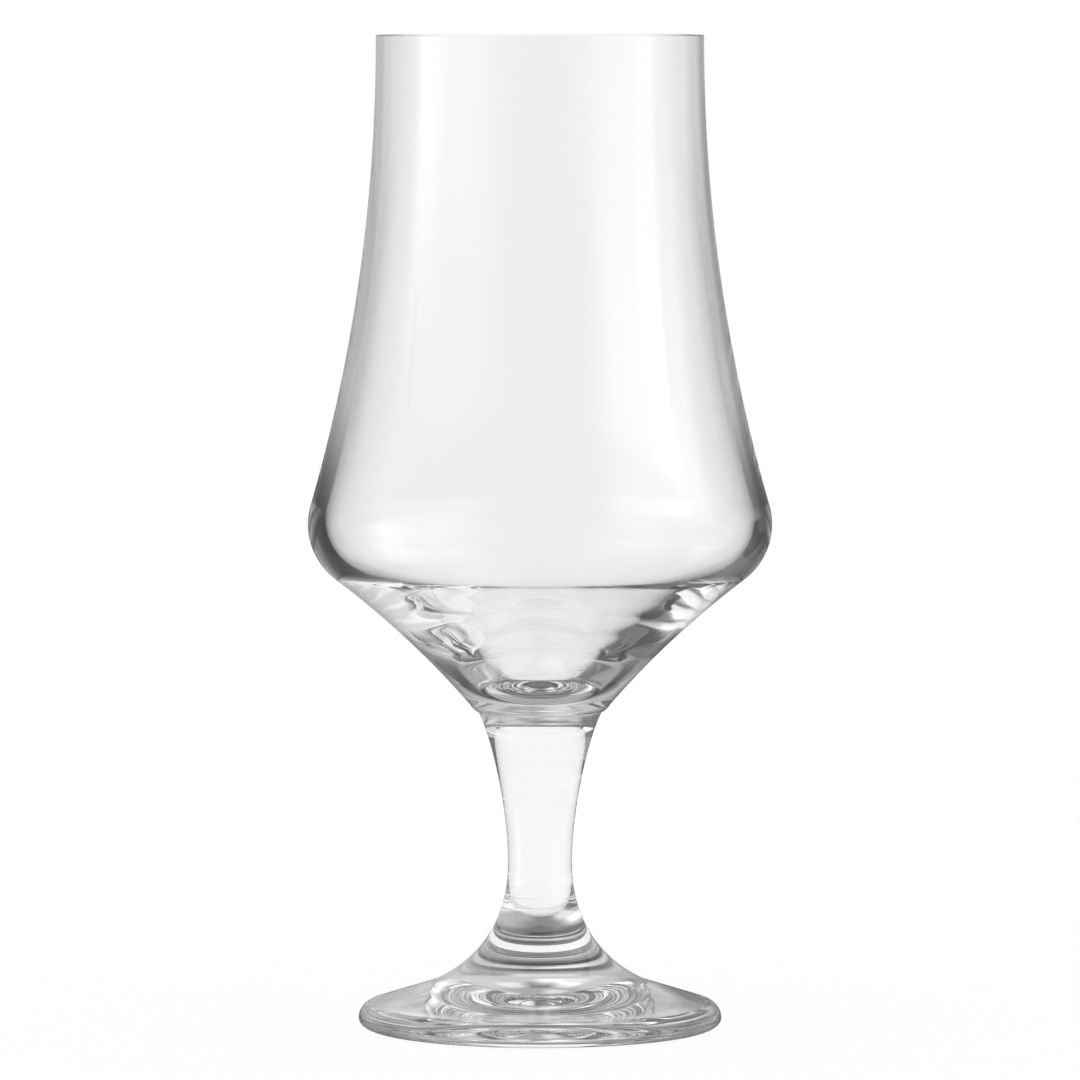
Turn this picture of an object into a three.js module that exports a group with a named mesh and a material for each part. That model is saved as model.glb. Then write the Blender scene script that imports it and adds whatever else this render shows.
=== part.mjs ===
// A stemmed beer glass of clear glass, standing on its foot.
// Three turned pieces, fused end to end: the bowl, the stem and the foot.
// Millimetres, +Z up, origin on the table under the middle of the foot.

import * as THREE from 'three';

// Overall height, and the heights of the two fused seams
const glassHeight = 180;
const bowlSeamHeight = 57.45;
const footSeamHeight = 22;

// Outside of the bowl: rim, belly, rounded shoulder and the hollow-sided cone below it
const rimRadius = 29.6;
const rimPull = 34.8;
const bellyRadius = 42;
const bellyHeight = 91.6;
const shoulderRounding = 12.3;
const shoulderRise = THREE.MathUtils.degToRad(16);
const shoulderFall = THREE.MathUtils.degToRad(54);
const shoulderPull = 23;
const coneEndRadius = 12.75;
const coneEndRise = 1.47;
const coneHollow = 0.86;
const seamEdgeCrown = 0.16;

// Inside of the bowl: walls, rounded shoulder, slightly swollen cone and the dished floor
const rimWall = 1.3;
const bellyWall = 3;
const innerShoulderRounding = 10;
const innerConeLean = THREE.MathUtils.degToRad(53.75);
const innerConeSwell = 0.36;
const floorDishRadius = 18.5;
const floorThickness = 5.4;

// Stem: top, taper to the waist
const stemTopRadius = 11.15;
const stemTopLean = 0.51;
const stemTopPull = 4.8;
const waistRadius = 5.8;
const waistHeight = 30.1;
const waistPullUp = 9.7;

// Foot: flare out of the waist, sloping top, round edge, resting ring and the hollow under it
const waistPullDown = 13.1;
const flareEndRadius = 19.7;
const flareEndHeight = 8.26;
const flareEndPull = 6.44;
const footTopSlope = 0.44;
const footRadius = 32.93;
const footEdgeHeight = 1.84;
const footEdgeRounding = 3.08;
const restingRingOuter = 30;
const restingRingInner = 28.9;
const footHollowDepth = 4.4;

// Faces around each piece and along each stretch of its outline
const facesAround = 56;
const wallSteps = 12;
const shoulderSteps = 8;
const coneSteps = 6;
const floorSteps = 5;
const seamEdgeSteps = 2;
const taperSteps = 8;
const stemFlareSteps = 4;
const footFlareSteps = 8;
const edgeSteps = 5;
const hollowSteps = 5;

const point = (radius, height) => new THREE.Vector2(radius, height);

// Evenly spaced shares from 0 to 1
const shares = (steps) => Array.from({ length: steps + 1 }, (_, step) => step / steps);

// Points of a round arc about a centre, the angle measured from the outward direction
function arcPoints(centre, radius, fromAngle, toAngle, steps) {
  return shares(steps).map((share) => {
    const angle = fromAngle + (toAngle - fromAngle) * share;
    return point(centre.x + radius * Math.cos(angle), centre.y + radius * Math.sin(angle));
  });
}

// Points between two ends on a line bowed to its left by a given height
function bowedPoints(start, end, bow, steps) {
  const along = end.clone().sub(start);
  const left = point(-along.y, along.x).normalize();
  return shares(steps).map((share) => {
    const lift = 4 * bow * share * (1 - share);
    return start.clone().addScaledVector(along, share).addScaledVector(left, lift);
  });
}

// Points of part of a smooth curve, between two shares of its run
function curvePoints(curve, fromShare, toShare, steps) {
  return shares(steps).map((share) => curve.getPoint(fromShare + (toShare - fromShare) * share));
}

// Share of a falling curve's run at which it has come down to a height
function shareAtHeight(curve, height) {
  let low = 0;
  let high = 1;
  for (let step = 0; step < 50; step += 1) {
    const middle = (low + high) / 2;
    if (curve.getPoint(middle).y > height) {
      low = middle;
    } else {
      high = middle;
    }
  }
  return (low + high) / 2;
}

// One outline from its stretches, with the shared end of two neighbours kept once
const outline = (...stretches) => stretches.flatMap((stretch, place) => stretch.slice(place ? 1 : 0));

const clearGlass = () => new THREE.MeshStandardMaterial({
  color: 0xf3f6f6,
  roughness: 0.04,
  metalness: 0,
  transparent: true,
  opacity: 0.35,
});

// Turns an outline about +Z; it runs from the axis at the low end, up the outside, to the axis again
function turnedPiece(name, points) {
  const geometry = new THREE.LatheGeometry(points, facesAround);
  const upright = new THREE.Matrix4().makeBasis(
    new THREE.Vector3(1, 0, 0),
    new THREE.Vector3(0, 0, 1),
    new THREE.Vector3(0, -1, 0),
  );
  geometry.applyMatrix4(upright);
  const piece = new THREE.Mesh(geometry, clearGlass());
  piece.name = name;
  return piece;
}

// Bowl: the outside, upwards
const coneEnd = point(coneEndRadius, bowlSeamHeight + coneEndRise);
const seamEdge = bowedPoints(point(stemTopRadius, bowlSeamHeight), coneEnd, -seamEdgeCrown, seamEdgeSteps);
const shoulderCentre = point(bellyRadius - shoulderRounding, bellyHeight);
const shoulder = arcPoints(shoulderCentre, shoulderRounding, -shoulderFall, shoulderRise, shoulderSteps);
const cone = bowedPoints(coneEnd, shoulder[0], coneHollow, coneSteps);
const shoulderTop = shoulder[shoulderSteps];
const upAlongShoulder = point(-Math.sin(shoulderRise), Math.cos(shoulderRise));
const outerWall = new THREE.CubicBezierCurve(
  shoulderTop,
  shoulderTop.clone().addScaledVector(upAlongShoulder, shoulderPull),
  point(rimRadius, glassHeight - rimPull),
  point(rimRadius, glassHeight),
);

// Bowl: the inside, downwards; the cone swells a little between the inner shoulder and the dished floor
const floorHeight = bowlSeamHeight + floorThickness;
const dishCentre = point(0, floorHeight + floorDishRadius);
const innerBellyRadius = bellyRadius - bellyWall;
const innerCentreRadius = innerBellyRadius - innerShoulderRounding;
const coneReach = innerCentreRadius * Math.cos(innerConeLean) - floorDishRadius + innerShoulderRounding;
const innerCentre = point(innerCentreRadius, dishCentre.y + coneReach / Math.sin(innerConeLean));
const innerArc = [shoulderRise, -innerConeLean];
const innerShoulder = arcPoints(innerCentre, innerShoulderRounding, ...innerArc, shoulderSteps);
const floor = arcPoints(dishCentre, floorDishRadius, -innerConeLean, -Math.PI / 2, floorSteps);
floor[floorSteps].x = 0;
const innerCone = bowedPoints(innerShoulder[shoulderSteps], floor[0], -innerConeSwell, coneSteps);
const innerRim = point(rimRadius - rimWall, glassHeight);
const innerWall = new THREE.CubicBezierCurve(
  innerRim,
  point(innerRim.x, glassHeight - rimPull),
  innerShoulder[0].clone().addScaledVector(upAlongShoulder, shoulderPull),
  innerShoulder[0],
);

const bowl = turnedPiece('bowl', outline(
  [point(0, bowlSeamHeight), point(stemTopRadius, bowlSeamHeight)],
  seamEdge,
  cone,
  shoulder,
  curvePoints(outerWall, 0, 1, wallSteps),
  [point(rimRadius, glassHeight), innerRim],
  curvePoints(innerWall, 0, 1, wallSteps),
  innerShoulder,
  innerCone,
  floor,
));

// Stem and foot share one flare, which the lower seam cuts at its height
const stemTaper = new THREE.CubicBezierCurve(
  point(waistRadius, waistHeight),
  point(waistRadius, waistHeight + waistPullUp),
  point(stemTopRadius - stemTopLean * stemTopPull, bowlSeamHeight - stemTopPull),
  point(stemTopRadius, bowlSeamHeight),
);
const downFootTop = point(1, -footTopSlope).normalize();
const flareEnd = point(flareEndRadius, flareEndHeight);
const flare = new THREE.CubicBezierCurve(
  point(waistRadius, waistHeight),
  point(waistRadius, waistHeight - waistPullDown),
  flareEnd.clone().addScaledVector(downFootTop, -flareEndPull),
  flareEnd,
);
const seamShare = shareAtHeight(flare, footSeamHeight);
const footSeam = point(flare.getPoint(seamShare).x, footSeamHeight);
const stemFlare = curvePoints(flare, seamShare, 0, stemFlareSteps);
stemFlare[0] = footSeam;
const footFlare = curvePoints(flare, 1, seamShare, footFlareSteps);
footFlare[footFlareSteps] = footSeam;

const stem = turnedPiece('stem', outline(
  [point(0, footSeamHeight), footSeam],
  stemFlare,
  curvePoints(stemTaper, 0, 1, taperSteps),
  [point(stemTopRadius, bowlSeamHeight), point(0, bowlSeamHeight)],
));

// Foot: flat resting ring, round edge, sloping top and flare, from the hollow underneath upwards
const edgeCentre = point(footRadius - footEdgeRounding, footEdgeHeight);
const edgeTopAngle = Math.atan2(1, footTopSlope);
const upperEdge = arcPoints(edgeCentre, footEdgeRounding, 0, edgeTopAngle, edgeSteps);
const lowerEdge = shares(edgeSteps).map((share) => {
  const angle = (share * Math.PI) / 2;
  const reach = footRadius - restingRingOuter;
  return point(restingRingOuter + reach * Math.sin(angle), footEdgeHeight * (1 - Math.cos(angle)));
});
const hollow = shares(hollowSteps).map((share) => {
  const dome = footHollowDepth * (1 - share * share);
  return point(restingRingInner * share, dome);
});
const foot = turnedPiece('foot', outline(
  hollow,
  [point(restingRingInner, 0), point(restingRingOuter, 0)],
  lowerEdge,
  upperEdge,
  [upperEdge[edgeSteps], flareEnd],
  footFlare,
  [footSeam, point(0, footSeamHeight)],
));

const glass = new THREE.Group();
glass.add(bowl, stem, foot);

export default glass;
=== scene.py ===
# %% [markdown]
# A stemmed beer glass, blown and pressed in clear glass: a flared bowl, a short stem and a round foot.
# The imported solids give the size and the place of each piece. Here each piece is turned again as a fine
# surface, because glass shows every facet twice, once in its reflection and once in what is seen through it.

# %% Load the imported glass
import math

import bpy
import numpy as np
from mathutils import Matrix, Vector


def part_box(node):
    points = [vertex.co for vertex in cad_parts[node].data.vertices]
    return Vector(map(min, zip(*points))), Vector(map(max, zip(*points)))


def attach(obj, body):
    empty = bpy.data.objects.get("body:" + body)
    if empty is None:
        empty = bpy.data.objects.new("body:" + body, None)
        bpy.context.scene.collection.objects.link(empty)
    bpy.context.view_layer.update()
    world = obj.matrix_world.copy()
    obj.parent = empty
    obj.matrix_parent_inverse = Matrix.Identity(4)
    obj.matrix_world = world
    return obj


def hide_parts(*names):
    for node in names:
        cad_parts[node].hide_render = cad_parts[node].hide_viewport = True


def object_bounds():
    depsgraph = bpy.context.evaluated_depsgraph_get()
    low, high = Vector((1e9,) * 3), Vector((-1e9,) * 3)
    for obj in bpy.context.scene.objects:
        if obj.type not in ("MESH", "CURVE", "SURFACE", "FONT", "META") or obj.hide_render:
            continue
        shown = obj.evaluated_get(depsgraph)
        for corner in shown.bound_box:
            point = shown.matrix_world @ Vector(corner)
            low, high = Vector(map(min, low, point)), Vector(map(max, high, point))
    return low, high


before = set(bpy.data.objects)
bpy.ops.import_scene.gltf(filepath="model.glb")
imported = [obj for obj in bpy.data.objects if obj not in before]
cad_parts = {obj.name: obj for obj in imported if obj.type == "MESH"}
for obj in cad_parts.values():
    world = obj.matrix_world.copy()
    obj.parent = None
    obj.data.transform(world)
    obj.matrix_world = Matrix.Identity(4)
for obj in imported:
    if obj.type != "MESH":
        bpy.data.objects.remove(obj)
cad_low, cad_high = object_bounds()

print("packed nodes:", sorted(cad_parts), "height:", round(cad_high.z, 4), "m")

# %% [markdown]
# The camera comes first, because it fixes what has to look right. The photograph was taken from just above
# the rim with a long lens. One scale, metres for each photograph pixel, ties the two together: it follows
# from the glass's height and from the rows where the rim and the foot lie in the picture.

# %% Camera at the photograph's viewing angle
photo_side = 1080
rim_row = 35.5
foot_row = 1030.0
glass_height = cad_high.z
camera_distance = 8.5 * glass_height
camera_height = 0.1907
metres_per_pixel = glass_height / (foot_row - rim_row)
aim = Vector((0, 0, (foot_row - photo_side / 2) * metres_per_pixel))

camera_data = bpy.data.cameras.new("camera")
camera = bpy.data.objects.new("camera", camera_data)
bpy.context.scene.collection.objects.link(camera)
camera.location = (0, -camera_distance, camera_height)
sight = aim - camera.location
camera.rotation_euler = sight.to_track_quat("-Z", "Y").to_euler()
camera_data.sensor_width = 36
camera_data.lens = camera_data.sensor_width * sight.length / (photo_side * metres_per_pixel)
bpy.context.scene.camera = camera
print("lens:", round(camera_data.lens, 1), "mm at", round(sight.length, 3), "m")

# %% [markdown]
# The glass is round, so every piece is one outline turned about the upright axis. An outline is a row of
# points (radius, height). Straight lines, round arcs and smooth curves with two pulls are all that it needs.

# %% Stretches of an outline
def point(radius, height):
    """A point of an outline: distance from the axis and height."""
    return np.array([radius, height], float)


def arc(centre, radius, start, stop, count):
    """Round arc: centre + radius * (cos a, sin a), with the angle a going evenly from start to stop."""
    angle = np.linspace(start, stop, count)
    return centre + radius * np.stack([np.cos(angle), np.sin(angle)], 1)


def curve(first, pull_first, pull_last, last, count):
    """Smooth curve: a cubic Bezier, whose weights are the terms of ((1 - t) + t) cubed."""
    t = np.linspace(0, 1, count)[:, None]
    s = 1 - t
    return s**3 * first + 3 * s * s * t * pull_first + 3 * s * t * t * pull_last + t**3 * last


def left_of(first, last):
    """Direction one long, a quarter turn to the left of the way from first to last."""
    along = last - first
    return np.array([-along[1], along[0]]) / np.hypot(*along)


def bowed(first, last, bow, count):
    """Line bowed to its left: straight from first to last, plus 4 * bow * t * (1 - t) across it."""
    t = np.linspace(0, 1, count)[:, None]
    return first + t * (last - first) + 4 * bow * t * (1 - t) * left_of(first, last)


def rippled(stretch, height, waves):
    """Stretch plus height * sin(2 pi waves t) * sin(pi t)^2 across it: faint waves that fade at both ends."""
    t = np.linspace(0, 1, len(stretch))[:, None]
    lift = height * np.sin(2 * np.pi * waves * t) * np.sin(np.pi * t) ** 2
    return stretch + lift * left_of(stretch[0], stretch[-1])


def chain(*stretches):
    """Stretches end to end, with the shared end of two neighbours kept once."""
    return np.concatenate([stretches[0]] + [stretch[1:] for stretch in stretches[1:]])


print("a quarter arc has the points", arc(point(0, 0), 1, 0, math.pi / 2, 3).round(2).tolist())

# %% [markdown]
# Turning carries the outline round the axis. Both ends of the outline lie on the axis, where the surface
# closes in a fan of triangles, and everything between is a grid of quads. All points are worked out at once.
# Each point also gets its exact facing direction from the slope of the outline. Glass bends light by that
# direction, so a direction guessed from flat faces would draw bright lines that no real glass has.

# %% Turn an outline into a closed surface
faces_around = 256
print("faces around each piece:", faces_around)


def turned(name, outline):
    """Surface (r(t) cos a, r(t) sin a, z(t)), t along the outline, a round the axis, fans at both poles.

    The normal is (z'(t) cos a, z'(t) sin a, -r'(t)), made one long: the outline's own slope turned outwards.
    """
    rings = outline[1:-1]
    angle = np.linspace(0, 2 * np.pi, faces_around, endpoint=False)
    grid = np.empty((len(rings), faces_around, 3))
    grid[..., 0] = rings[:, :1] * np.cos(angle)
    grid[..., 1] = rings[:, :1] * np.sin(angle)
    grid[..., 2] = rings[:, 1:]
    poles = np.array([[0, 0, outline[0, 1]], [0, 0, outline[-1, 1]]])
    points = np.concatenate([grid.reshape(-1, 3), poles])

    number = np.arange(len(rings) * faces_around).reshape(len(rings), faces_around)
    beside = np.roll(number, -1, axis=1)
    quads = np.stack([number[:-1], beside[:-1], beside[1:], number[1:]], -1).reshape(-1, 4)
    low_pole, high_pole = len(points) - 2, len(points) - 1
    low_fan = np.stack([np.full(faces_around, low_pole), beside[0], number[0]], -1)
    high_fan = np.stack([np.full(faces_around, high_pole), number[-1], beside[-1]], -1)

    mesh = bpy.data.meshes.new(name)
    mesh.from_pydata(points.tolist(), [], quads.tolist() + low_fan.tolist() + high_fan.tolist())
    mesh.polygons.foreach_set("use_smooth", np.ones(len(mesh.polygons), bool))
    slope = np.gradient(rings, axis=0, edge_order=2)
    slope /= np.hypot(slope[:, :1], slope[:, 1:])
    facing = np.empty_like(grid)
    facing[..., 0] = slope[:, 1:] * np.cos(angle)
    facing[..., 1] = slope[:, 1:] * np.sin(angle)
    facing[..., 2] = -slope[:, :1]
    ends = np.array([[0, 0, -1.0], [0, 0, 1.0]])
    mesh.normals_split_custom_set_from_vertices(np.concatenate([facing.reshape(-1, 3), ends]).tolist())
    piece = bpy.data.objects.new(name, mesh)
    bpy.context.scene.collection.objects.link(piece)
    print(name, "faces:", len(mesh.polygons))
    return piece


def fused_end(piece, fan):
    """Gives one pole's fan the second material and a hard edge: 'low' is the first pole, 'high' the last."""
    mesh = piece.data
    start = len(mesh.polygons) - (2 if fan == "low" else 1) * faces_around
    chosen = np.zeros(len(mesh.polygons), np.int32)
    mesh.polygons.foreach_get("material_index", chosen)
    smooth = np.ones(len(mesh.polygons), bool)
    mesh.polygons.foreach_get("use_smooth", smooth)
    chosen[start:start + faces_around] = 1
    smooth[start:start + faces_around] = False
    mesh.polygons.foreach_set("material_index", chosen)
    mesh.polygons.foreach_set("use_smooth", smooth)


# %% [markdown]
# A material or the world's light is a small net of nodes. Three helpers keep the cells below short: one sets
# up a node and links what goes into it, one starts an empty material, and one mixes two shaders by a share.

# %% Helpers for nodes
def add_node(tree, kind, inputs=None, **settings):
    """New node with its settings; each input is a plain value or another node's output to link."""
    node = tree.nodes.new(kind)
    for name, value in settings.items():
        setattr(node, name, value)
    for socket, value in (inputs or {}).items():
        if isinstance(value, bpy.types.NodeSocket):
            tree.links.new(value, node.inputs[socket])
        else:
            node.inputs[socket].default_value = value
    return node


def empty_material(name):
    """New material with no node in it, to be built up from single shaders."""
    material = bpy.data.materials.new(name)
    material.use_nodes = True
    material.node_tree.nodes.clear()
    return material


def mixed(tree, share, first, second):
    """Shader that is the first at share 0 and the second at share 1."""
    return add_node(tree, "ShaderNodeMixShader", {0: share, 1: first.outputs[0], 2: second.outputs[0]})


print("materials so far:", len(bpy.data.materials))

# %% [markdown]
# Clear glass shows no colour of its own. What is seen of it is light that it bends and mirrors, so its
# material is mostly one number, the refractive index, 1.52 for common glass. Melted glass is never quite
# even: a soft noise gives the surface waves a few thousandths of a millimetre high, and a barely uneven tint.
# Where two pieces are fused the glass goes on without a boundary, so those faces let light straight through.

# %% Clear glass and the fused seams
MM = 0.001
refractive_index = 1.52
melt_scale = 60.0
melt_height = 0.008 * MM
faint_tint = (0.988, 0.992, 0.992, 1)
no_tint = (1, 1, 1, 1)


def clear_glass(name):
    """Clear glass with faint waves of the melt and a barely uneven tint, both from one soft noise."""
    material = bpy.data.materials.new(name)
    material.use_nodes = True
    tree = material.node_tree
    shader = tree.nodes["Principled BSDF"]
    place = add_node(tree, "ShaderNodeTexCoord").outputs["Object"]
    melt = add_node(tree, "ShaderNodeTexNoise", {"Vector": place, "Scale": melt_scale, "Detail": 1.0})
    waves = add_node(tree, "ShaderNodeBump",
                     {"Strength": 1.0, "Distance": melt_height, "Height": melt.outputs[0]})
    tint = add_node(tree, "ShaderNodeValToRGB", {"Fac": melt.outputs[0]})
    tint.color_ramp.elements[0].color = faint_tint
    tint.color_ramp.elements[1].color = no_tint
    tree.links.new(tint.outputs["Color"], shader.inputs["Base Color"])
    tree.links.new(waves.outputs["Normal"], shader.inputs["Normal"])
    shader.inputs["Roughness"].default_value = 0.0
    shader.inputs["IOR"].default_value = refractive_index
    shader.inputs["Transmission Weight"].default_value = 1.0
    return material


# Face inside the glass where two pieces are melted together: it changes nothing on the light's way
seam_finish = empty_material("fused_seam")
through = add_node(seam_finish.node_tree, "ShaderNodeBsdfTransparent")
add_node(seam_finish.node_tree, "ShaderNodeOutputMaterial", {"Surface": through.outputs[0]})


def finish_piece(piece, slot, node, *ends):
    """Glass all over, clear seams at the fused ends, and the piece put in the place of its solid."""
    piece.data.materials.append(clear_glass(slot))
    piece.data.materials.append(seam_finish)
    for end in ends:
        fused_end(piece, end)
    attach(piece, "root")
    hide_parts(node)


print("glass bends light by", refractive_index, "and its waves are", melt_height / MM, "mm high")

# %% [markdown]
# The bowl is blown into a mould that is kept turning, so no mould line shows. Seen from outside it is a
# hollow-sided cone that stands on the stem, a round shoulder, and a wall that leans in and then runs straight
# up to the rim. The cone and the small crowned edge under it are lines with a slight bow, the shoulder is an
# arc, and the wall is one smooth curve that leaves the shoulder along its slope.

# %% Outside of the bowl
bowl_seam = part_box("bowl")[0].z
belly_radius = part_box("bowl")[1].x
belly_height = 91.6 * MM
rim_radius = 29.6 * MM
rim_pull = 34.8 * MM
rim_rounding = 0.2 * MM
shoulder_rounding = 12.3 * MM
shoulder_rise = math.radians(16)
shoulder_fall = math.radians(54)
shoulder_pull = 23 * MM
cone_end_radius = 12.75 * MM
cone_end_rise = 1.47 * MM
cone_hollow = 0.86 * MM
seam_edge_crown = 0.16 * MM
stem_top_radius = 11.15 * MM
shoulder_points = 45
wall_points = 50
outer_cone_points = 36
seam_edge_points = 8

cone_end = point(cone_end_radius, bowl_seam + cone_end_rise)
bowl_edge = bowed(point(stem_top_radius, bowl_seam), cone_end, -seam_edge_crown, seam_edge_points)
shoulder_centre = point(belly_radius - shoulder_rounding, belly_height)
shoulder = arc(shoulder_centre, shoulder_rounding, -shoulder_fall, shoulder_rise, shoulder_points)
outer_cone = bowed(cone_end, shoulder[0], cone_hollow, outer_cone_points)
up_along_shoulder = np.array([-math.sin(shoulder_rise), math.cos(shoulder_rise)])
outer_wall = curve(
    shoulder[-1],
    shoulder[-1] + up_along_shoulder * shoulder_pull,
    point(rim_radius, glass_height - rim_pull),
    point(rim_radius, glass_height - rim_rounding),
    wall_points,
)
print("belly:", round(2 * belly_radius / MM, 1), "mm across, rim:", round(2 * rim_radius / MM, 1), "mm")

# %% [markdown]
# Inside, the wall is thin at the rim and about three millimetres thick at the belly, where the glass gathers.
# It turns in a tighter shoulder than outside and runs down a cone to a small dished floor. The arc of the
# shoulder and the arc of the floor touch one slanting line, which gives the height of the shoulder's centre.
# The cone swells a little and carries faint rings, left where the glass cooled against the mould.

# %% Inside of the bowl
rim_wall = 1.3 * MM
belly_wall = 3.0 * MM
inner_shoulder_rounding = 10 * MM
inner_cone_lean = math.radians(53.75)
inner_cone_bow = 0.36 * MM
ripple_height = 0.010 * MM
ripple_waves = 5
floor_dish_radius = 18.5 * MM
floor_thickness = 5.4 * MM
inner_cone_points = 90
dish_points = 24
quarter = math.pi / 2

dish_centre = point(0, bowl_seam + floor_thickness + floor_dish_radius)
inner_centre_radius = belly_radius - belly_wall - inner_shoulder_rounding
cone_reach = inner_centre_radius * math.cos(inner_cone_lean) - floor_dish_radius + inner_shoulder_rounding
inner_centre = point(inner_centre_radius, dish_centre[1] + cone_reach / math.sin(inner_cone_lean))
inner_shoulder = arc(inner_centre, inner_shoulder_rounding, shoulder_rise, -inner_cone_lean, shoulder_points)
dish = arc(dish_centre, floor_dish_radius, -inner_cone_lean, -quarter, dish_points)
dish[-1, 0] = 0
smooth_cone = bowed(inner_shoulder[-1], dish[0], -inner_cone_bow, inner_cone_points)
inner_cone = rippled(smooth_cone, ripple_height, ripple_waves)
inner_wall = curve(
    point(rim_radius - rim_wall, glass_height - rim_rounding),
    point(rim_radius - rim_wall, glass_height - rim_pull),
    inner_shoulder[0] + up_along_shoulder * shoulder_pull,
    inner_shoulder[0],
    wall_points,
)
print("inner shoulder's centre at", (inner_centre / MM).round(2).tolist(), "mm")

# %% [markdown]
# The rim is cut straight and its two edges are melted round in a flame, so a quarter arc goes on each side of
# it. With the rim the outline is complete: up the outside, over the rim and down the inside to the axis.

# %% Bowl
rim_edge_points = 8
rim_outer_edge = point(rim_radius - rim_rounding, glass_height - rim_rounding)
rim_inner_edge = point(rim_radius - rim_wall + rim_rounding, glass_height - rim_rounding)
rim = chain(
    arc(rim_outer_edge, rim_rounding, 0, quarter, rim_edge_points),
    arc(rim_inner_edge, rim_rounding, quarter, 2 * quarter, rim_edge_points),
)
bowl = turned("bowl_glass", chain(
    np.array([point(0, bowl_seam), point(stem_top_radius, bowl_seam)]),
    bowl_edge,
    outer_cone,
    shoulder,
    outer_wall,
    rim,
    inner_wall,
    inner_shoulder,
    inner_cone,
    dish,
))
finish_piece(bowl, "bowl_glass", "bowl", "low")

# %% [markdown]
# The stem is a solid piece of glass that tapers from the seam under the bowl to a waist and then begins to
# flare out to the foot. It is pressed and joined on while hot. One smooth curve serves the taper and one the
# flare, which the lower seam cuts in two: the upper part belongs to the stem and the lower part to the foot.

# %% Stem
foot_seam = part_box("stem")[0].z
stem_top_lean = 0.51
stem_top_pull = 4.8 * MM
waist_radius = 5.8 * MM
waist_height = 30.1 * MM
waist_pull_up = 9.7 * MM
waist_pull_down = 13.1 * MM
flare_end_radius = 19.7 * MM
flare_end_height = 8.26 * MM
flare_end_pull = 6.44 * MM
foot_top_slope = 0.44
taper_points = 90
flare_points = 160
seam_clearance = 0.05 * MM

taper = curve(
    point(waist_radius, waist_height),
    point(waist_radius, waist_height + waist_pull_up),
    point(stem_top_radius - stem_top_lean * stem_top_pull, bowl_seam - stem_top_pull),
    point(stem_top_radius, bowl_seam),
    taper_points,
)
down_foot_top = np.array([1, -foot_top_slope]) / math.hypot(1, foot_top_slope)
flare_end = point(flare_end_radius, flare_end_height)
flare = curve(
    point(waist_radius, waist_height),
    point(waist_radius, waist_height - waist_pull_down),
    flare_end - down_foot_top * flare_end_pull,
    flare_end,
    flare_points,
)
seam_radius = float(np.interp(-foot_seam, -flare[:, 1], flare[:, 0]))
seam_edge = point(seam_radius, foot_seam)
stem_flare = np.concatenate([flare[flare[:, 1] > foot_seam + seam_clearance], [seam_edge]])
foot_flare = np.concatenate([[seam_edge], flare[flare[:, 1] < foot_seam - seam_clearance]])
stem = turned("stem_glass", chain(
    np.array([point(0, foot_seam), seam_edge]),
    stem_flare[::-1],
    taper,
    np.array([point(stem_top_radius, bowl_seam), point(0, bowl_seam)]),
))
finish_piece(stem, "stem_glass", "stem", "low", "high")

# %% [markdown]
# The foot is pressed flat while soft. Its top slopes down to a round edge. Underneath it is hollow, so that
# the glass stands on a narrow ring and doesn't rock on an uneven table. The hollow also works as a lens, and
# most of the swirl that is seen in the foot is the stem and the room, bent by it.

# %% Foot
foot_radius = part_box("foot")[1].x
foot_edge_height = 1.84 * MM
foot_edge_rounding = 3.08 * MM
resting_ring_outer = 30 * MM
resting_ring_inner = 28.9 * MM
foot_hollow_depth = 4.4 * MM
foot_edge_points = 24
hollow_points = 60
foot_top_points = 30

upper_edge = arc(
    point(foot_radius - foot_edge_rounding, foot_edge_height),
    foot_edge_rounding, 0, math.atan2(1, foot_top_slope), foot_edge_points,
)
# Quarter of an oval, from the resting ring out and up to the widest part
turn = np.linspace(0, quarter, foot_edge_points)[:, None]
lower_edge = np.concatenate([
    resting_ring_outer + (foot_radius - resting_ring_outer) * np.sin(turn),
    foot_edge_height * (1 - np.cos(turn)),
], 1)
# Parabola: depth * (1 - share of the way out, squared)
across = np.linspace(0, 1, hollow_points)[:, None]
hollow = np.concatenate([resting_ring_inner * across, foot_hollow_depth * (1 - across * across)], 1)
foot = turned("foot_glass", chain(
    hollow,
    np.array([point(resting_ring_inner, 0), point(resting_ring_outer, 0)]),
    lower_edge,
    upper_edge,
    np.linspace(upper_edge[-1], flare_end, foot_top_points),
    foot_flare[::-1],
    np.array([seam_edge, point(0, foot_seam)]),
))
finish_piece(foot, "foot_glass", "foot", "high")

# %% [markdown]
# Clear glass is photographed in a bright field: a white wall behind it and a white table under it. What is
# seen straight through the glass is that white. What the glass mirrors comes from the rest of the room, so
# rays that were mirrored at least once see a darker studio. To place things in that studio, each direction is
# told by two angles in degrees: round the horizon from straight behind the glass, and upwards.

# %% Directions in the studio
world = bpy.data.worlds.new("studio")
bpy.context.scene.world = world
world.use_nodes = True
sky = world.node_tree
sky.nodes.clear()


def math_of(tree, operation, *values):
    """Output of one arithmetic node with the given inputs."""
    node = add_node(tree, "ShaderNodeMath", dict(enumerate(values)), operation=operation)
    return node.outputs[0]


def step(tree, value, start, stop):
    """0 at start, 1 at stop, smooth between; start may also be the larger of the two."""
    node = add_node(tree, "ShaderNodeMapRange", {"Value": value, "From Min": start, "From Max": stop},
                    interpolation_type="SMOOTHSTEP")
    return node.outputs[0]


def mirrored_rays(tree):
    """1 for rays that were mirrored at least once on their way from the camera, 0 for the others."""
    paths = add_node(tree, "ShaderNodeLightPath")
    return math_of(tree, "MINIMUM", paths.outputs["Glossy Depth"], 1.0)


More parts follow.
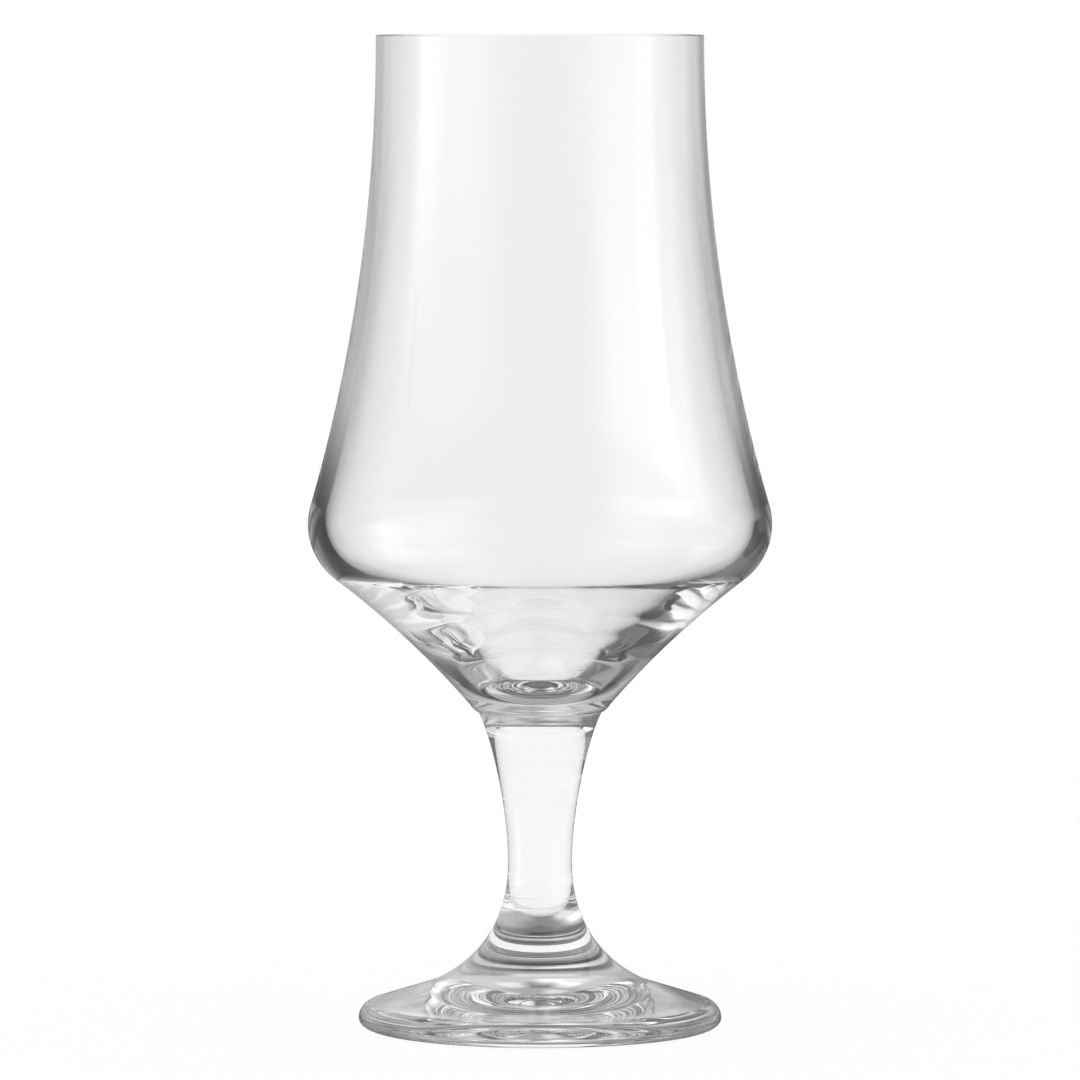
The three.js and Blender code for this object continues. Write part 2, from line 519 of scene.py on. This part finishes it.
degrees = 180 / math.pi
direction = add_node(sky, "ShaderNodeTexCoord").outputs["Generated"]
flat = add_node(sky, "ShaderNodeVectorMath", {0: direction, 1: (1, 1, 0)}, operation="MULTIPLY").outputs[0]
level = add_node(sky, "ShaderNodeVectorMath", {0: flat}, operation="NORMALIZE").outputs[0]
compass = add_node(sky, "ShaderNodeSeparateXYZ", {0: level}).outputs
rise = add_node(sky, "ShaderNodeSeparateXYZ", {0: direction}).outputs["Z"]
elevation = math_of(sky, "MULTIPLY", math_of(sky, "ARCSINE", rise), degrees)
rightward = math_of(sky, "MULTIPLY", math_of(sky, "ARCTAN2", compass["X"], compass["Y"]), degrees)
leftward = math_of(sky, "MULTIPLY", rightward, -1.0)
forward = math_of(sky, "ABSOLUTE", rightward)
print("direction nodes:", len(sky.nodes))

# %% [markdown]
# A studio for glass has a large soft box on each side, a pale strip of wall at the height of the horizon, lit
# patches higher up behind, and a dim front where the camera stands. Each is a soft window in the two angles,
# with its own brightness, and all are added to a base level. A panel below zero is a darker place.

# %% Light panels
base_light = 0.20


def window(value, begin, end):
    """Rises from 0 to 1 over the pair begin and falls back over the pair end."""
    return math_of(sky, "MULTIPLY", step(sky, value, *begin), step(sky, value, *reversed(end)))


def panel(brightness, across, begin, end, low, high):
    """Brightness times a window round the horizon (begin, end) times a window upwards (low, high)."""
    mask = math_of(sky, "MULTIPLY", window(across, begin, end), window(elevation, low, high))
    return math_of(sky, "MULTIPLY", mask, brightness)


panels = [
    # Soft box on the right, the wall under it, and its fainter side towards the back
    panel(0.90, rightward, (78, 86), (122, 156), (4, 9), (35, 95)),
    panel(0.22, rightward, (72, 76), (82, 86), (3, 5), (9, 14)),
    panel(0.38, rightward, (66, 84), (130, 165), (-38, -16), (4, 9)),
    panel(0.22, rightward, (30, 75), (135, 175), (-85, -55), (4, 9)),
    panel(0.35, rightward, (25, 55), (78, 88), (8, 16), (60, 100)),
    panel(0.40, rightward, (62, 74), (82, 88), (10, 22), (50, 95)),
    # Pale strip behind the glass at the height of the horizon
    panel(0.32, rightward, (-50, -40), (8, 14), (-6, -4.5), (5, 11)),
    panel(0.18, rightward, (8, 14), (36, 46), (-6, -4.5), (5, 11)),
    panel(0.20, rightward, (24, 29), (36, 46), (-6, -4.5), (2, 5)),
    panel(0.25, rightward, (-16, -9), (6, 12), (0, 2), (9, 12)),
    # Darker room under the strip, with one pale gap
    panel(0.20, rightward, (-24, -18), (-4, 4), (-16, -11), (-7, -5.5)),
    panel(-0.12, rightward, (-75, -45), (8, 24), (-66, -50), (-5.5, -4.5)),
    panel(-0.12, rightward, (8, 24), (40, 50), (-15, -9), (-5.5, -4.5)),
    # Lit patches higher up behind the glass, with a darker middle between two bars
    panel(0.42, rightward, (-50, -32), (28, 45), (6, 11), (32, 44)),
    panel(0.30, rightward, (-24, -14), (-2, 5), (14, 20), (28, 38)),
    panel(0.24, rightward, (-75, -45), (45, 75), (32, 44), (65, 95)),
    panel(-0.25, rightward, (-8, -4), (4, 8), (24, 29), (40, 46)),
    panel(0.28, rightward, (7, 11), (18, 23), (24, 30), (38, 44)),
    panel(0.28, rightward, (-21, -18), (-11, -7), (24, 30), (38, 44)),
    panel(0.35, rightward, (-42, -24), (-12, 2), (42, 50), (56, 70)),
    panel(0.18, rightward, (-10, -7), (-1, 2), (18, 21), (27, 30)),
    # Soft box on the left, which hangs lower
    panel(0.16, leftward, (78, 83), (97, 103), (-5, -3), (6, 9)),
    panel(0.60, leftward, (84, 89), (100, 114), (-60, -45), (5, 11)),
    panel(0.45, leftward, (80, 90), (120, 150), (-26, -12), (0, 10)),
    panel(0.55, leftward, (55, 88), (128, 156), (-72, -50), (-26, -12)),
    # Low light all around the sides, and the dim front
    panel(0.08, forward, (20, 70), (200, 210), (-110, -100), (-40, -10)),
    panel(-0.10, forward, (130, 160), (200, 210), (-5, 10), (80, 110)),
]
studio_light = base_light
for one in panels:
    studio_light = math_of(sky, "ADD", studio_light, one)
strength = add_node(sky, "ShaderNodeMix", {0: mirrored_rays(sky), 2: 1.0, 3: studio_light}, data_type="FLOAT")
background = add_node(sky, "ShaderNodeBackground", {"Color": (1, 1, 1, 1), "Strength": strength.outputs[0]})
add_node(sky, "ShaderNodeOutputWorld", {"Surface": background.outputs[0]})
print("light panels:", len(panels))

# %% [markdown]
# The table is a wide pale sheet just under the foot. It is nearly as bright as the wall, and the rest of it
# is matt paint that takes the faint shadow of the glass. Mirrored rays see the studio through it, apart from
# a ring around the foot with a painted glow, which stands in for lit table in the reflections and is palest
# behind the glass.

# %% Floor
floor_half = 3.0
floor_drop = 0.2 * MM
white_share = 0.93
ring_starts = (36 * MM, 44 * MM)
ring_ends = (150 * MM, 115 * MM)
behind_glass = (math.radians(40), math.radians(24))
ring_light = 0.15
light_behind = 0.27

floor_mesh = bpy.data.meshes.new("floor")
corners = np.array([[-1, -1, 0], [1, -1, 0], [1, 1, 0], [-1, 1, 0]]) * floor_half
floor_mesh.from_pydata(corners.tolist(), [], [(0, 1, 2, 3)])
floor = bpy.data.objects.new("floor", floor_mesh)
floor.location.z = -floor_drop
bpy.context.scene.collection.objects.link(floor)

paint = empty_material("pale_floor")
tree = paint.node_tree
place = add_node(tree, "ShaderNodeTexCoord").outputs["Object"]
reach = add_node(tree, "ShaderNodeVectorMath", {0: place}, operation="LENGTH").outputs["Value"]
spot = add_node(tree, "ShaderNodeSeparateXYZ", {0: place}).outputs
bearing = math_of(tree, "ABSOLUTE", math_of(tree, "ARCTAN2", spot["X"], spot["Y"]))
# Painted glow: a dim emission that only mirrored rays see, standing in for light that falls on the table
ring = math_of(tree, "MULTIPLY", step(tree, reach, *ring_starts), step(tree, reach, *ring_ends))
glow_level = math_of(tree, "MULTIPLY_ADD", step(tree, bearing, *behind_glass), light_behind, ring_light)
matt = add_node(tree, "ShaderNodeBsdfDiffuse", {"Color": (0.97, 0.97, 0.97, 1)})
white = add_node(tree, "ShaderNodeEmission", {"Color": (1, 1, 1, 1), "Strength": 1.0})
clear = add_node(tree, "ShaderNodeBsdfTransparent")
painted_glow = add_node(tree, "ShaderNodeEmission", {"Color": (1, 1, 1, 1), "Strength": glow_level})
seen_straight = mixed(tree, white_share, matt, white)
seen_mirrored = mixed(tree, ring, clear, painted_glow)
shown = mixed(tree, mirrored_rays(tree), seen_straight, seen_mirrored)
add_node(tree, "ShaderNodeOutputMaterial", {"Surface": shown.outputs[0]})
floor_mesh.materials.append(paint)
print("floor side:", 2 * floor_half, "m")

# %% [markdown]
# In a bright field the edge of a clear glass would vanish. Photographers therefore stand dark cards close to
# the glass, just out of the picture. Here the cards are dim glowing sheets that only mirrored rays reach, so
# they paint dark reflections into the glass. A helper makes such cards: all are dark, and a share of cover,
# worked out from the place on the card, lets the light past them.

# %% Dark cards
card_light = 0.07


def dark_cards(name, corners, faces, cover):
    """Dim flat cards that only mirrored rays see, painting dark reflections; cover(tree, x, z) is the share
    of light that they hold back.
    """
    mesh = bpy.data.meshes.new(name)
    mesh.from_pydata(corners.tolist(), [], faces)
    cards = bpy.data.objects.new(name, mesh)
    bpy.context.scene.collection.objects.link(cards)
    material = empty_material(name)
    tree = material.node_tree
    place = add_node(tree, "ShaderNodeTexCoord").outputs["Object"]
    spot = add_node(tree, "ShaderNodeSeparateXYZ", {0: place}).outputs
    held = math_of(tree, "MULTIPLY", cover(tree, spot["X"], spot["Z"]), mirrored_rays(tree))
    # Painted shade: this dim glow is seen only in reflections, where it darkens the glass
    dark = add_node(tree, "ShaderNodeEmission", {"Color": (1, 1, 1, 1), "Strength": card_light})
    clear = add_node(tree, "ShaderNodeBsdfTransparent")
    shown = mixed(tree, held, clear, dark)
    add_node(tree, "ShaderNodeOutputMaterial", {"Surface": shown.outputs[0]})
    mesh.materials.append(material)
    print(name, "cards:", len(mesh.polygons))


# %% [markdown]
# One card stands on each side of the belly. Only the rays at the belly's outermost edge reach them, and they
# paint a dark reflection along its outline. The left card is dark all over, and the right one grows paler
# away from the glass, so its painted shade is lighter there.

# %% Cards beside the belly
belly_card_depth = 30 * MM
belly_card_outline = np.array([(43, 82), (55, 82), (64, 66), (98, 60), (98, 120), (43, 120)]) * MM
top_fade = (119 * MM, 96 * MM)
right_fade = (54 * MM, 80 * MM)
right_fade_share = 0.6


def belly_cover(tree, x, z):
    """Fades out at the top edge, times 1 less a share that grows to the right."""
    paler = math_of(tree, "MULTIPLY", step(tree, x, *right_fade), right_fade_share)
    return math_of(tree, "MULTIPLY", step(tree, z, *top_fade), math_of(tree, "SUBTRACT", 1.0, paler))


card_sides = len(belly_card_outline)
depths = np.full(card_sides, belly_card_depth)
left_card = np.stack([-belly_card_outline[:, 0], depths, belly_card_outline[:, 1]], 1)
right_card = left_card * [-1, 1, 1]
belly_faces = [range(card_sides), range(card_sides, 2 * card_sides)]
dark_cards("belly_cards", np.concatenate([left_card, right_card]), belly_faces, belly_cover)

# %% [markdown]
# A low card stands behind the foot and paints grey shade into the reflections on the foot's two flat wings,
# more so on the right. It is soft at its edges and open in the middle, where the foot shows the bright table
# behind it.

# %% Low card behind the foot
foot_card_reach = 48 * MM
foot_card_depth = 40 * MM
foot_card_low = 1 * MM
foot_card_high = 22 * MM
inner_fade = (15 * MM, 22 * MM)
outer_fade = (47 * MM, 36 * MM)
upper_fade = (20 * MM, 13 * MM)
left_to_right = (-5 * MM, 5 * MM)
left_cover = 0.35
more_on_right = 0.40


def foot_cover(tree, x, z):
    """Window between the inner and the outer fade on both sides, times the fade upwards and the share."""
    aside = math_of(tree, "ABSOLUTE", x)
    sides = math_of(tree, "MULTIPLY", step(tree, aside, *inner_fade), step(tree, aside, *outer_fade))
    soft = math_of(tree, "MULTIPLY", sides, step(tree, z, *upper_fade))
    share = math_of(tree, "MULTIPLY_ADD", step(tree, x, *left_to_right), more_on_right, left_cover)
    return math_of(tree, "MULTIPLY", soft, share)


foot_card = np.array([
    (-foot_card_reach, foot_card_depth, foot_card_low),
    (foot_card_reach, foot_card_depth, foot_card_low),
    (foot_card_reach, foot_card_depth, foot_card_high),
    (-foot_card_reach, foot_card_depth, foot_card_high),
])
dark_cards("foot_card", foot_card, [range(len(foot_card))], foot_cover)

# %% [markdown]
# Light crosses many glass surfaces on its way through the foot and the cone, and is mirrored inside them up
# to twenty times. With too few bounces those parts would turn black.

# %% Render settings that belong to the scene
bounces = 80
scene = bpy.context.scene
scene.view_settings.view_transform = "Standard"
scene.cycles.max_bounces = bounces
scene.cycles.transmission_bounces = bounces
scene.cycles.glossy_bounces = bounces
scene.cycles.transparent_max_bounces = bounces
print("bounces:", bounces)
